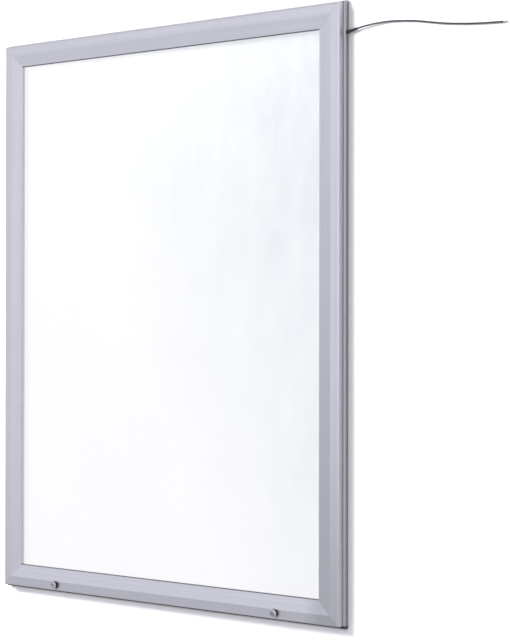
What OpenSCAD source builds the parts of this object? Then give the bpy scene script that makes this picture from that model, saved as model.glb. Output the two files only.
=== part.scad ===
// Illuminated poster case: a shallow base frame with an edge-lit panel, and a door hinged along its top edge.
// Sizes are in millimetres. X runs to the right, Y runs back to the wall at Y = 0, and Z runs up.
// A profile has u running in from the frame's outer edge, and v running forward from the wall.

/* [Poster] */
// Width of the poster
poster_w = 594; // [420:1:841]
// Height of the poster
poster_h = 841; // [594:1:1189]
// Strip of the poster that the door covers along each edge
poster_cover = 10; // [6:0.5:12]

/* [Door] */
// Width of the door's profile
door_face = 35; // [33:0.5:45]
// Depth of the whole case, at the door's crest
case_depth = 19; // [18:0.5:24]
// Distance from the door's outer edge to the crest
crest_u = 15; // [14:0.5:18]
// Drop from the crest to the outer edge
edge_drop = 1; // [0.5:0.1:2]
// Drop from the crest to the inner lip
lip_drop = 3; // [2:0.1:3]
// Rounding of the outer front edge
edge_r = 1.2; // [0.5:0.1:1.5]
// Thickness of the door's front skin
skin = 1.3; // [1:0.1:1.4]
// Thickness of the door's outer wall
skirt = 1.6; // [1.2:0.1:2]
// Thickness of the door's rear wall
rear_wall = 1.3; // [1:0.1:1.5]
// Thickness of the clear pane
pane_t = 2; // [1.5:0.1:2]
// Hairline left open at each side of a mitre
mitre_gap = 0.08; // [0.02:0.01:0.2]

/* [Base] */
// Rim of the base that shows around the door
rim = 4; // [3:0.5:6]
// Rounding of the rim's outer front edge
rim_r = 3; // [1:0.1:3]
// Depth of the base
base_depth = 8; // [8:0.5:9]
// Width of the base's profile
base_face = 23.6; // [23:0.1:26]
// Wall thickness of the base's profile
base_wall = 1.6; // [1.2:0.1:1.8]
// Thickness of the back panel
back_t = 1.5; // [1:0.1:1.6]
// Radius of the four wall-screw holes
wall_hole_r = 2.5; // [2:0.1:3]
// Height of the wall-screw holes above and below the middle
wall_hole_z = 300; // [150:10:400]

/* [Hinge] */
// Radius of the door's hinge bead
bead_r = 2; // [1.8:0.05:2]
// Radial clearance of the bead in its channel
hinge_clear = 0.05; // [0.02:0.01:0.1]
// Length of the bead along the door's top rail
hinge_length = 600; // [300:10:600]

/* [Locks] */
// Distance of each lock from the middle of the case
lock_x = 212; // [100:1:240]
// Height of each lock above the door's lower edge
lock_up = 9; // [8.8:0.1:9.5]
// Radius of the lock's front ring
bezel_r = 6.5; // [6:0.1:7]
// Height of the lock's front ring above its seat in the door
bezel_t = 5.4; // [2.5:0.1:6]
// Radius of the lock's barrel
barrel_r = 4.5; // [4:0.1:4.6]
// Reach of the lock's cam from its axis
cam_reach = 8.5; // [8:0.1:9]

/* [Light panel] */
// Thickness of the reflector sheet
reflector_t = 0.3; // [0.2:0.1:0.4]
// Thickness of the light guide
guide_t = 3; // [3:0.1:4]
// Thickness of the opal diffuser
diffuser_t = 1.5; // [1:0.1:1.5]
// Spacing of the LEDs along each board
led_pitch = 20; // [12:1:40]

/* [Lead] */
// Radius of the supply lead
lead_r = 1.3; // [1:0.05:1.3]
// Distance of the lead's exit below the top of the case
lead_down = 46; // [46:0.5:200]

/* [Hidden] */
$fn = 48;
// Gap between parts that lie close without touching
clear = 0.05;
// Gap between the closed door and the base
door_gap = 0.3;
door_w = poster_w + 2 * (door_face - poster_cover);
door_h = poster_h + 2 * (door_face - poster_cover);
base_w = door_w + 2 * rim;
base_h = door_h + 2 * rim;
// Height of the lead's exit above the middle of the case
lead_z = base_h / 2 - lead_down;

// Heights of the base's surfaces above the wall
floor_v = back_t + 1.5;
flange_v = base_depth - 1.5;
// Inner edge of the base's front flange
flange_u = 7;
// Where the base's floor steps forward over the back panel
step_u = 8;

// The light panel's sheets lie on the back panel
guide_v = back_t + reflector_t;
diffuser_v = guide_v + guide_t;
panel_front_v = diffuser_v + diffuser_t;
// The base's inner wall ends just below the panel's front, so that the clips pass over it
inner_wall_v = panel_front_v - 0.3;
board_t = 1;
chip_t = 1.2;
chip_gap = 0.4;
guide_w = base_w - 2 * (base_face + board_t + chip_t + chip_gap);
guide_h = base_h - 2 * (base_face + 0.6);
diffuser_w = base_w - 2 * (base_face + 0.4);
diffuser_h = base_h - 2 * (base_face + 0.4);
board_end = 15;
board_half = min(base_h / 2 - base_face - board_end, lead_z + 5);

// Heights of the door's surfaces above the wall
skirt_v = base_depth + door_gap;
door_back_v = base_depth + 1.5;
seat_v = door_back_v + rear_wall;
pane_v = seat_v + 1.5;
edge_v = case_depth - edge_drop;
lip_v = case_depth - lip_drop;
// The pane's groove in the door's profile
groove_u = door_face - 9;
pane_in = groove_u + 1.6;
lip_back_u = door_face - 1;
// The flange around the opening that keeps the poster's edges against the panel
hold_t = 1.2;
hold_u = lip_back_u - hold_t;
hold_v = panel_front_v + 0.3;

// The hinge bead's centre, in the base's profile
channel_r = bead_r + hinge_clear;
hinge_tube_r = channel_r + 1.05;
hinge_u = hinge_tube_r + 0.1;
hinge_v = base_depth - 0.1 - hinge_tube_r;
// The arm that carries the bead
arm_t = 1.4;
arm_u = hinge_u + 4.7;

// The lock's surfaces, from the cam screw's head forwards
lock_z = lock_up - door_h / 2;
cam_screw_v = floor_v + 0.5;
cam_v = cam_screw_v + 0.95;
cam_t = 1.8;
barrel_v = cam_v + cam_t + 0.15;
bezel_v = edge_v + 0.2;
plug_r = 3.2;
plug_head_r = 4.2;
nut_across = 12;

// Corner keys, clips and screws of the base
key_u = 14;
key_w = 7;
key_arm = 32;
key_t = 2;
screw_r = 1.5;
clip_length = 30;
clip_u = 17.5;
clip_spots = [
    for (s = [-1, 1], k = [-0.23, 0.23]) [k * base_w, s * (base_h / 2 - clip_u)],
    for (s = [-1, 1], k = [-0.22, 0.22]) [s * (base_w / 2 - clip_u), k * base_h]
];
back_screw_spots = [
    for (s = [-1, 1], k = [-0.36, 0, 0.36]) [k * base_w, s * (base_h / 2 - clip_u)],
    for (s = [-1, 1], k = [-0.28, 0, 0.28]) [s * (base_w / 2 - clip_u), k * base_h]
];
wall_hole_u = 17;
wall_hole_x = base_w / 2 - wall_hole_u;

// Corner keys of the door
door_key_u = 8;
door_key_w = 12;
door_key_arm = 50;
door_key_v = seat_v + 0.2;
door_key_t = 3.8;

// Wiring inside the base, in the channel of its rails
lead_v = floor_v + lead_r;
wire_r = 0.8;
wire_u = 11;
bend_r = 3;
splice_u0 = 6.3;
splice_u1 = 13;
splice_half = 6;
feed_z = lead_z - 4;
gland_out = 17;
gland_neck_r = 1.85;
gland_flange_r = 3;
gland_bore_r = lead_r + 0.2;
// The strain relief turns up from here by this angle
gland_bend_x = 0.6;
gland_tilt = 12;
gland_end = [gland_bend_x + (gland_out + 0.5) * cos(gland_tilt), lead_v, (gland_out + 0.5) * sin(gland_tilt)];

// The lead's line, as distance from the case's side, height above the wall and height above its exit
lead_route = [
    [clear - splice_u0, lead_v, 0], [-3.5, lead_v, 0], [-1, lead_v, 0], [1.5, lead_v, 0.2], [4, lead_v, 0.72],
    gland_end, [28, 4, 5.5], [43.5, 3.4, 7.3], [59, 2.8, 8.2], [71, 2.3, 8.15], [83, 2, 7.3], [98.5, 2, 5.8],
    [114, 2, 3.6], [129.5, 2, 0.5], [145, 2, -2.4], [160, 2, -4.8], [175, 2, -6.7], [190, 2, -8.3],
    [205, 2, -9.5], [220, 2, -10.4], [240, 2, -11.3]
];
lead_steps = 4;
lead_sides = 8;
core_length = 8;

silver = [0.78, 0.78, 0.81];
steel = [0.6, 0.6, 0.62];
chrome = [0.85, 0.85, 0.87];
white = [0.95, 0.95, 0.95];
dark = [0.15, 0.15, 0.16];
clear_tint = [0.85, 0.92, 0.95, 0.4];
copper = [0.75, 0.45, 0.25];

// A sheet centred on the case, from height v0 to height v1
module sheet(w, h, v0, v1) {
    translate([-w / 2, -v1, -h / 2])
        cube([w, v1 - v0, h]);
}

// A round post that stands forward from the wall, with radius r1 at its front end
module post(spot, v0, v1, r, r1 = -1) {
    translate([spot[0], -v0, spot[1]])
        rotate([90, 0, 0])
            cylinder(h = v1 - v0, r1 = r, r2 = r1 < 0 ? r : r1);
}

// An outline in X and Z, thickened from height v0 to height v1
module plate(v0, v1) {
    translate([0, -v0, 0])
        rotate([90, 0, 0])
            linear_extrude(height = v1 - v0)
                children();
}

// A straight bar with a profile, lying along the lower edge of a frame
module bar(length, across) {
    multmatrix([[0, 0, 1, 0], [0, -1, 0, 0], [1, 0, 0, -across / 2], [0, 0, 0, 1]])
        linear_extrude(height = length, center = true)
            children();
}

// The lower member of a frame, with its ends cut at 45 degrees
module mitred(length, across, reach) {
    half = length / 2 - mitre_gap;
    low = -across / 2;
    intersection() {
        bar(length, across)
            children();
        plate(-1, case_depth + 1)
            polygon([
                [-half - 1, low - 1], [half + 1, low - 1],
                [half - reach, low + reach], [-half + reach, low + reach]
            ]);
    }
}

// Copies at the four corners of a frame, with local -X and -Z pointing along the two sides
module at_corners(half_w, half_h) {
    for (c = [[1, 1, 0], [1, -1, 90], [-1, -1, 180], [-1, 1, 270]])
        translate([c[0] * half_w, 0, c[1] * half_h])
            rotate([0, c[2], 0])
                children();
}

module at_base_corners() {
    at_corners(base_w / 2 - key_u, base_h / 2 - key_u)
        children();
}

module at_door_corners() {
    at_corners(door_w / 2 - door_key_u, door_h / 2 - door_key_u)
        children();
}

// The outline of an L-shaped corner key
module key_outline(arm, w) {
    polygon([[0, 0], [-arm, 0], [-arm, -w], [-w, -w], [-w, -arm], [0, -arm]]);
}

function key_screw_spots(arm, w) = [[-arm + 6, -w / 2], [-w / 2, -arm + 6]];

// The local axes of a lock: X to the right, Y up and Z forward from the wall
module at_lock(side) {
    translate([side * lock_x, 0, lock_z])
        rotate([90, 0, 0])
            children();
}

// Part of the base's profile that all four rails share: foot, floor and inner wall
module base_floor_section() {
    polygon([
        [0, 0], [step_u, 0], [step_u, back_t], [base_face, back_t], [base_face, inner_wall_v],
        [base_face - base_wall, inner_wall_v], [base_face - base_wall, floor_v],
        [step_u - base_wall, floor_v], [step_u - base_wall, back_t], [0, back_t]
    ]);
}

// The rounded outer front edge of the base's profile
rim_arc = [for (a = [90:10:180]) [rim_r + rim_r * cos(a), base_depth - rim_r + rim_r * sin(a)]];

module base_section() {
    base_floor_section();
    polygon([
        [0, back_t / 2], [base_wall, back_t / 2], [base_wall, flange_v], [flange_u, flange_v],
        [flange_u, base_depth], each rim_arc
    ]);
}

// A point on the hinge's circles, with the angle counted upwards from straight forward
function hinge_point(r, a) = [hinge_u - r * sin(a), hinge_v + r * cos(a)];

module base_top_section() {
    base_floor_section();
    difference() {
        union() {
            translate([0, back_t / 2])
                square([hinge_u, hinge_v - back_t / 2]);
            translate([hinge_u, hinge_v])
                circle(r = hinge_tube_r);
        }
        translate([hinge_u, hinge_v])
            circle(r = channel_r);
        polygon(concat([[hinge_u, hinge_v]], [for (a = [22, -10, -45, -80, -115]) hinge_point(3.6, a)]));
    }
}

// All the screw holes through the base's floor
module base_holes() {
    at_base_corners()
        for (p = key_screw_spots(key_arm, key_w))
            post(p, back_t - 1, floor_v + 1, screw_r + clear);
    for (p = concat(clip_spots, back_screw_spots))
        post(p, back_t - 1, floor_v + 1, screw_r + clear);
    wall_holes();
}

module wall_holes() {
    for (x = [-wall_hole_x, wall_hole_x], z = [-wall_hole_z, wall_hole_z])
        post([x, z], -1, floor_v + 1, wall_hole_r);
}

// The hole through a side rail's inner wall for its board's wire
module feed_hole(side) {
    translate([side * (base_w / 2 - base_face - 1), -lead_v, feed_z])
        rotate([0, side * 90, 0])
            cylinder(h = base_wall + 2, r = wire_r + 0.4);
}

module base_rail_top() {
    color(silver)
        difference() {
            rotate([0, 180, 0])
                mitred(base_w, base_h, base_face + 1)
                    base_top_section();
            base_holes();
        }
}

module base_rail_bottom() {
    color(silver)
        difference() {
            mitred(base_w, base_h, base_face + 1)
                base_section();
            base_holes();
        }
}

module base_rail_left() {
    color(silver)
        difference() {
            rotate([0, 90, 0])
                mitred(base_h, base_w, base_face + 1)
                    base_section();
            base_holes();
            feed_hole(-1);
        }
}

module base_rail_right() {
    color(silver)
        difference() {
            rotate([0, -90, 0])
                mitred(base_h, base_w, base_face + 1)
                    base_section();
            base_holes();
            feed_hole(1);
            translate([base_w / 2 - base_wall - 1, -lead_v, lead_z])
                rotate([0, 90, 0])
                    cylinder(h = base_wall + 2, r = gland_neck_r + clear);
        }
}

module base_corner_keys() {
    color(steel)
        at_base_corners()
            difference() {
                plate(floor_v + clear, floor_v + clear + key_t)
                    key_outline(key_arm, key_w);
                for (p = key_screw_spots(key_arm, key_w))
                    post(p, floor_v - 1, floor_v + key_t + 1, screw_r + clear);
            }
}

// A pan-head screw from height v0 to the underside of its head at height v1
module pan_screw(spot, v0, v1) {
    post(spot, v0, v1 + 0.5, screw_r);
    post(spot, v1, v1 + 1.4, 2.7, 2.1);
}

module base_corner_screws() {
    color(steel)
        at_base_corners()
            for (p = key_screw_spots(key_arm, key_w))
                pan_screw(p, back_t + clear, floor_v + key_t + 2 * clear);
}

module back_panel() {
    color(white)
        difference() {
            sheet(base_w - 2 * (step_u + 0.2), base_h - 2 * (step_u + 0.2), 0, back_t - clear / 2);
            for (p = back_screw_spots) {
                post(p, -1, back_t + 1, screw_r + clear);
                post(p, -clear, 1.3, 2.95, screw_r);
            }
            wall_holes();
        }
}

module back_panel_screws() {
    color(steel)
        for (p = back_screw_spots) {
            post(p, clear, floor_v - clear, screw_r);
            post(p, clear, 1.2, 2.75, screw_r);
        }
}

module reflector_sheet() {
    color(white)
        sheet(guide_w, guide_h, back_t, guide_v - clear / 2);
}

module light_guide() {
    color(clear_tint)
        sheet(guide_w, guide_h, guide_v, diffuser_v - clear / 2);
}

module diffuser_panel() {
    color(white)
        sheet(diffuser_w, diffuser_h, diffuser_v, panel_front_v);
}

module led_board(side) {
    color(white)
        translate([side * (base_w / 2 - base_face - board_t / 2), -guide_v - guide_t / 2, 0])
            cube([board_t, guide_t - 0.3, 2 * board_half], center = true);
}

module led_chips(side) {
    count = floor((board_half - 5) / led_pitch);
    color([0.95, 0.9, 0.6])
        for (i = [-count:count])
            translate([
                side * (base_w / 2 - base_face - board_t - chip_t / 2),
                -guide_v - guide_t / 2,
                i * led_pitch
            ])
                cube([chip_t, guide_t - 1.2, 3.6], center = true);
}

module led_board_left() {
    led_board(-1);
}

module led_board_right() {
    led_board(1);
}

module led_chips_left() {
    led_chips(-1);
}

module led_chips_right() {
    led_chips(1);
}

// The section of a clip that reaches over the inner wall and holds the panel's edge
module clip_section() {
    low = floor_v + clear;
    top = panel_front_v + 0.1;
    polygon([
        [clip_u - 3, low], [base_face - base_wall - 0.2, low], [base_face - base_wall - 0.2, top],
        [base_face + 4.4, top], [base_face + 4.4, top + 1], [base_face - base_wall - 1.4, top + 1],
        [base_face - base_wall - 1.4, low + 1.1], [clip_u - 3, low + 1.1]
    ]);
}

module panel_clips() {
    color(steel)
        difference() {
            union() {
                for (k = [-0.23, 0.23], turn = [0, 180])
                    rotate([0, turn, 0])
                        translate([k * base_w, 0, 0])
                            bar(clip_length, base_h)
                                clip_section();
                for (k = [-0.22, 0.22], turn = [90, -90])
                    rotate([0, turn, 0])
                        translate([k * base_h, 0, 0])
                            bar(clip_length, base_w)
                                clip_section();
            }
            for (p = clip_spots)
                post(p, floor_v - 1, floor_v + 2, screw_r + clear);
        }
}

module panel_clip_screws() {
    color(steel)
        for (p = clip_spots)
            pan_screw(p, back_t + clear, floor_v + 1.1 + 2 * clear);
}

// Plugs that fill the ends of the hinge channel and keep the door from sliding sideways
module hinge_end_plugs() {
    color(dark)
        for (x = [-hinge_length / 2 - 12, hinge_length / 2 + 0.3])
            translate([x, -hinge_v, base_h / 2 - hinge_u])
                rotate([0, 90, 0])
                    cylinder(h = 11.7, r = bead_r);
}

// The local axis of the strain relief's sleeve, along Z
module along_sleeve() {
    translate([gland_bend_x, 0, 0])
        rotate([0, 90 - gland_tilt, 0])
            children();
}

module cable_gland() {
    color(dark)
        translate([base_w / 2, -lead_v, lead_z])
            difference() {
                union() {
                    rotate([0, 90, 0])
                        rotate_extrude()
                            polygon([
                                [0, -base_wall - 1.2], [2.1, -base_wall - 1.2], [2.1, -base_wall - clear],
                                [gland_neck_r, -base_wall - clear], [gland_neck_r, clear],
                                [gland_flange_r, clear], [gland_flange_r, 0.9], [0, 0.9]
                            ]);
                    intersection() {
                        along_sleeve()
                            translate([0, 0, -2])
                                cylinder(h = gland_out + 2, r1 = 2.7, r2 = 1.75);
                        translate([clear, -5, -5])
                            cube([2 * gland_out, 10, 20]);
                    }
                }
                translate([-base_wall - 2, 0, 0])
                    rotate([0, 90, 0])
                        cylinder(h = base_wall + 3.2, r = gland_bore_r);
                along_sleeve()
                    translate([0, 0, -0.2])
                        cylinder(h = gland_out + 1, r = gland_bore_r);
            }
}

module splice_block() {
    color(white)
        translate([base_w / 2 - splice_u1, -floor_v - clear - 2.6, lead_z - splice_half])
            cube([splice_u1 - splice_u0, 2.6, 2 * splice_half]);
}

// A straight wire between two spots at the height of the wiring
module wire(from, to) {
    run = to - from;
    translate([from[0], -lead_v, from[1]])
        rotate([0, atan2(run[0], run[1]), 0])
            cylinder(h = norm(run), r = wire_r);
}

// A quarter bend of the wire about a spot, starting at the given turn about Y
module bend(spot, turn) {
    translate([spot[0], -lead_v, spot[1]])
        rotate([0, turn, 0])
            rotate([90, 0, 0])
                rotate_extrude(angle = 90)
                    translate([bend_r, 0])
                        circle(r = wire_r);
}

module feed_wire_right() {
    color(copper)
        wire([base_w / 2 - splice_u1, feed_z], [base_w / 2 - base_face, feed_z]);
}

module feed_wire_left() {
    out = base_w / 2 - wire_u;
    up = base_h / 2 - wire_u;
    color(copper) {
        wire([out, lead_z + splice_half], [out, up - bend_r]);
        bend([out - bend_r, up - bend_r], 0);
        wire([out - bend_r, up], [bend_r - out, up]);
        bend([bend_r - out, up - bend_r], -90);
        wire([-out, up - bend_r], [-out, feed_z + bend_r]);
        bend([bend_r - out, feed_z + bend_r], 180);
        wire([bend_r - out, feed_z], [base_face - base_w / 2, feed_z]);
    }
}

// A point at fraction t of the way from route point i to the next, on a smooth line through them all
function on_route(i, t) =
    let (
        n = len(lead_route) - 1,
        a = lead_route[max(i - 1, 0)],
        b = lead_route[i],
        c = lead_route[min(i + 1, n)],
        d = lead_route[min(i + 2, n)]
    )
    0.5 * (2 * b + (c - a) * t + (2 * a - 5 * b + 4 * c - d) * t * t + (3 * b - a - 3 * c + d) * t * t * t);

lead_line = [
    for (i = [0:len(lead_route) - 2], k = [0:lead_steps - 1]) on_route(i, k / lead_steps),
    lead_route[len(lead_route) - 1]
];

function unit(v) = v / norm(v);

// The corners of the lead's section at step i, in X, Y and Z
function lead_ring(i) =
    let (
        last = len(lead_line) - 1,
        run = unit(lead_line[min(i + 1, last)] - lead_line[max(i - 1, 0)]),
        side = unit(cross(run, [0, 0, 1])),
        up = cross(side, run),
        p = lead_line[i]
    )
    [for (k = [0:lead_sides - 1])
        let (
            a = 360 * k / lead_sides,
            q = p + lead_r * (cos(a) * side + sin(a) * up)
        )
        [base_w / 2 + q[0], -q[1], lead_z + q[2]]];

module power_lead() {
    rings = len(lead_line);
    n = lead_sides;
    color(dark)
        polyhedron(
            points = [for (i = [0:rings - 1]) each lead_ring(i)],
            faces = concat(
                [[for (k = [0:n - 1]) n - 1 - k]],
                [[for (k = [0:n - 1]) (rings - 1) * n + k]],
                [for (i = [0:rings - 2], k = [0:n - 1]) [i * n + k, i * n + (k + 1) % n, (i + 1) * n + k]],
                [for (i = [0:rings - 2], k = [0:n - 1])
                    [i * n + (k + 1) % n, (i + 1) * n + (k + 1) % n, (i + 1) * n + k]]
            )
        );
}

module lead_cores() {
    last = len(lead_line) - 1;
    run = unit(lead_line[last] - lead_line[last - 1]);
    start = lead_line[last] + clear * run;
    color(copper)
        translate([base_w / 2 + start[0], -start[1], lead_z + start[2]])
            rotate([0, 90 - asin(run[2]), 0])
                for (s = [-1, 1])
                    translate([s * 0.6, 0, 0])
                        cylinder(h = core_length, r = 0.4);
}

// Height of the door's front surface at distance u from its outer edge
function front_v(u) = u < crest_u
    ? edge_v + edge_drop * u / crest_u
    : case_depth - lip_drop * (u - crest_u) / (door_face - crest_u);

// The rounded outer front edge of the door's profile
edge_arc = [for (a = [90:15:180]) [edge_r + edge_r * cos(a), front_v(edge_r) - edge_r + edge_r * sin(a)]];

module door_section() {
    difference() {
        polygon(concat(
            [
                [0, skirt_v], [skirt, skirt_v], [skirt, door_back_v], [hold_u, door_back_v],
                [hold_u, hold_v], [lip_back_u, hold_v], [lip_back_u, seat_v], [groove_u, seat_v],
                [groove_u, front_v(groove_u) - skin],
                [door_face, lip_v - skin], [door_face, lip_v], [crest_u, case_depth]
            ],
            edge_arc
        ));
        polygon([
            [skirt, seat_v], [groove_u - skirt, seat_v], [groove_u - skirt, front_v(groove_u - skirt) - skin],
            [crest_u, case_depth - skin], [skirt, front_v(skirt) - skin]
        ]);
    }
}

// The hinge bead and its arm, which turn in the channel of the base's top rail
module hook_section() {
    bead_u = hinge_u - rim;
    translate([bead_u, hinge_v])
        circle(r = bead_r);
    translate([bead_u, hinge_v - arm_t / 2])
        square([arm_u - hinge_u, arm_t]);
    translate([arm_u - rim - arm_t, hinge_v - arm_t / 2])
        square([arm_t, door_back_v + rear_wall / 2 - hinge_v + arm_t / 2]);
}

// Holes for the door's corner screws, from behind
module door_screw_holes() {
    at_door_corners()
        for (p = key_screw_spots(door_key_arm, door_key_w))
            post(p, door_back_v - 1, seat_v + 0.1, screw_r + clear);
}

module door_rail_top() {
    color(silver)
        difference() {
            rotate([0, 180, 0])
                union() {
                    mitred(door_w, door_h, door_face + 1)
                        door_section();
                    bar(hinge_length, door_h)
                        hook_section();
                }
            door_screw_holes();
        }
}

module door_rail_bottom() {
    color(silver)
        difference() {
            mitred(door_w, door_h, door_face + 1)
                door_section();
            door_screw_holes();
            for (s = [-1, 1]) {
                post([s * lock_x, lock_z], door_back_v - 1, case_depth + 1, barrel_r + 0.1);
                post([s * lock_x, lock_z], bezel_v, case_depth + 1, bezel_r + 0.2);
            }
        }
}

module door_stile_left() {
    color(silver)
        difference() {
            rotate([0, 90, 0])
                mitred(door_h, door_w, door_face + 1)
                    door_section();
            door_screw_holes();
        }
}

module door_stile_right() {
    color(silver)
        difference() {
            rotate([0, -90, 0])
                mitred(door_h, door_w, door_face + 1)
                    door_section();
            door_screw_holes();
        }
}

module door_corner_keys() {
    color(steel)
        at_door_corners()
            difference() {
                plate(door_key_v, door_key_v + door_key_t)
                    key_outline(door_key_arm, door_key_w);
                for (p = key_screw_spots(door_key_arm, door_key_w))
                    post(p, door_key_v - 1, door_key_v + door_key_t - 0.6, screw_r + clear);
            }
}

module door_corner_screws() {
    color(steel)
        at_door_corners()
            for (p = key_screw_spots(door_key_arm, door_key_w)) {
                post(p, door_back_v - clear - 0.5, door_key_v + door_key_t - 1, screw_r);
                post(p, door_back_v - clear - 1, door_back_v - clear, 2.1, 2.7);
            }
}

module front_pane() {
    color(clear_tint)
        sheet(door_w - 2 * pane_in, door_h - 2 * pane_in, pane_v, pane_v + pane_t);
}

module pane_gasket() {
    outer = groove_u + 0.3;
    inner = lip_back_u - 0.5;
    slot_w = door_w - 2 * pane_in + 0.3;
    slot_h = door_h - 2 * pane_in + 0.3;
    color(dark)
        difference() {
            sheet(door_w - 2 * outer, door_h - 2 * outer, seat_v + clear, pane_v + pane_t + 0.4);
            sheet(door_w - 2 * inner, door_h - 2 * inner, seat_v - 1, case_depth);
            sheet(slot_w, slot_h, pane_v - clear, pane_v + pane_t + clear);
        }
}

module lock_barrel(side) {
    face = bezel_v + bezel_t;
    shaft_bore = plug_r + clear;
    head_bore = plug_head_r + clear;
    color(chrome)
        at_lock(side)
            rotate_extrude()
                polygon([
                    [shaft_bore, barrel_v], [barrel_r, barrel_v], [barrel_r, bezel_v], [bezel_r, bezel_v],
                    [bezel_r, face - 1.4], [bezel_r - 0.4, face - 0.5], [bezel_r - 1.2, face],
                    [head_bore, face], [head_bore, face - 2], [shaft_bore, face - 2]
                ]);
}

module lock_barrel_left() {
    lock_barrel(-1);
}

module lock_barrel_right() {
    lock_barrel(1);
}

// The nuts that clamp the locks against the door's rear wall
module lock_nuts() {
    color(steel)
        for (s = [-1, 1])
            at_lock(s)
                translate([0, 0, base_depth + 0.2])
                    difference() {
                        cylinder(h = door_back_v - base_depth - 0.25, r = nut_across / sqrt(3), $fn = 6);
                        translate([0, 0, -1])
                            cylinder(h = 4, r = barrel_r + clear);
                    }
}

// The turning plug, with its key slot in front and a square drive for the cam behind
module lock_plug(side) {
    face = bezel_v + bezel_t;
    color(chrome)
        at_lock(side)
            difference() {
                union() {
                    translate([0, 0, barrel_v])
                        cylinder(h = face - 1 - barrel_v, r = plug_r);
                    translate([0, 0, face - 2 + clear])
                        cylinder(h = 1.6, r = plug_head_r);
                    translate([-1.7, -1.7, cam_v])
                        cube([3.4, 3.4, barrel_v - cam_v + 0.5]);
                }
                translate([-2.2, -0.7, face - 5])
                    cube([4.4, 1.4, 6]);
                translate([0, 0, cam_v - 1])
                    cylinder(h = 6, r = 1);
            }
}

module lock_plug_left() {
    lock_plug(-1);
}

module lock_plug_right() {
    lock_plug(1);
}

// The cam, drawn unlocked: a quarter turn takes its arm down behind the base's front flange
module lock_cam(side) {
    color(steel)
        at_lock(side)
            translate([0, 0, cam_v])
                linear_extrude(height = cam_t)
                    difference() {
                        union() {
                            circle(r = 4.5);
                            translate([0, -3])
                                square([cam_reach, 6]);
                        }
                        square(3.5, center = true);
                    }
}

module lock_cam_left() {
    lock_cam(-1);
}

module lock_cam_right() {
    lock_cam(1);
}

module cam_screw(side) {
    color(steel)
        at_lock(side) {
            translate([0, 0, cam_screw_v])
                cylinder(h = 0.9, r1 = 2.2, r2 = 2.5);
            translate([0, 0, cam_screw_v + 0.4])
                cylinder(h = 4.6, r = 0.95);
        }
}

module cam_screw_left() {
    cam_screw(-1);
}

module cam_screw_right() {
    cam_screw(1);
}

base_rail_top();
base_rail_bottom();
base_rail_left();
base_rail_right();
base_corner_keys();
base_corner_screws();
back_panel();
back_panel_screws();
reflector_sheet();
light_guide();
diffuser_panel();
led_board_left();
led_board_right();
led_chips_left();
led_chips_right();
panel_clips();
panel_clip_screws();
hinge_end_plugs();
cable_gland();
splice_block();
feed_wire_left();
feed_wire_right();
power_lead();
lead_cores();
door_rail_top();
door_rail_bottom();
door_stile_left();
door_stile_right();
door_corner_keys();
door_corner_screws();
front_pane();
pane_gasket();
lock_barrel_left();
lock_barrel_right();
lock_nuts();
lock_plug_left();
lock_plug_right();
lock_cam_left();
lock_cam_right();
cam_screw_left();
cam_screw_right();
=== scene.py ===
import math

import bmesh
import bpy
from mathutils import Matrix, Vector


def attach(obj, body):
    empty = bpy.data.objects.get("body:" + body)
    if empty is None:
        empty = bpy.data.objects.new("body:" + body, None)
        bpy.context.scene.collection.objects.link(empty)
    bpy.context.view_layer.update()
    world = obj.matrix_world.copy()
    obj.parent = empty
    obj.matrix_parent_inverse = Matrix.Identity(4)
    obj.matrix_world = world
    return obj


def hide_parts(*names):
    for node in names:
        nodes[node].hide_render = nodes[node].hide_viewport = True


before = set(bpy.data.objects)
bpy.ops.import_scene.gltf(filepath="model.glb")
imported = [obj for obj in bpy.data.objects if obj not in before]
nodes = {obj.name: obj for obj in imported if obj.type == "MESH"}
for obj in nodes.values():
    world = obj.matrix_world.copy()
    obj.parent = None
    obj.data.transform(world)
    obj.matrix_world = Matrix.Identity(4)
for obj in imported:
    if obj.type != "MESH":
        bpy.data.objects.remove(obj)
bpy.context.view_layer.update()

# The case hangs on a wall at Y = 0, and heights above the wall run along -Y. Pieces are drawn in millimetres
# and become metres when they are finished. Finishes, the stage and the lights are in metres.
MM = 0.001
FRONT = Matrix(((1, 0, 0, 0), (0, 0, -1, 0), (0, 1, 0, 0), (0, 0, 0, 1)))
BACK = Matrix(((-1, 0, 0, 0), (0, 0, 1, 0), (0, 1, 0, 0), (0, 0, 0, 1)))
CASE_SIDE, CASE_TOP = 326, 449.5
DOOR_SIDE, DOOR_TOP = 322, 445.5
SCREW_SIDE, SCREW_TOP = 308.5, 432
SEAL_LIP_INSET = 36.6
LOCK_SPOTS = {"left": (-212, -436.5), "right": (212, -436.5)}
LEAD_UP, LEAD_OFF_WALL, LEAD_RADIUS = 403.5, 4.3, 1.3
SLEEVE_ROOT, SLEEVE_TILT = 0.6, math.radians(12)


# Camera

def photo_camera():
    lens = bpy.data.cameras.new("photo_camera")
    lens.lens = 84.66
    lens.sensor_width = 36
    camera = bpy.data.objects.new("photo_camera", lens)
    camera.location = (1.41375, -1.8629, -0.01547)
    camera.rotation_euler = [math.radians(angle) for angle in (90.1948, -0.0756, 33.8277)]
    bpy.context.scene.collection.objects.link(camera)
    bpy.context.scene.camera = camera


photo_camera()


# Node helpers

def give(tree, made, inputs):
    """Joins a node's inputs to other nodes, or sets them."""
    for key, value in inputs.items():
        if isinstance(value, bpy.types.NodeSocket):
            tree.links.new(value, made.inputs[key])
        else:
            made.inputs[key].default_value = value


def node(tree, kind, inputs=None, **settings):
    made = tree.nodes.new(kind)
    for key, value in settings.items():
        setattr(made, key, value)
    give(tree, made, inputs or {})
    return made


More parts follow.
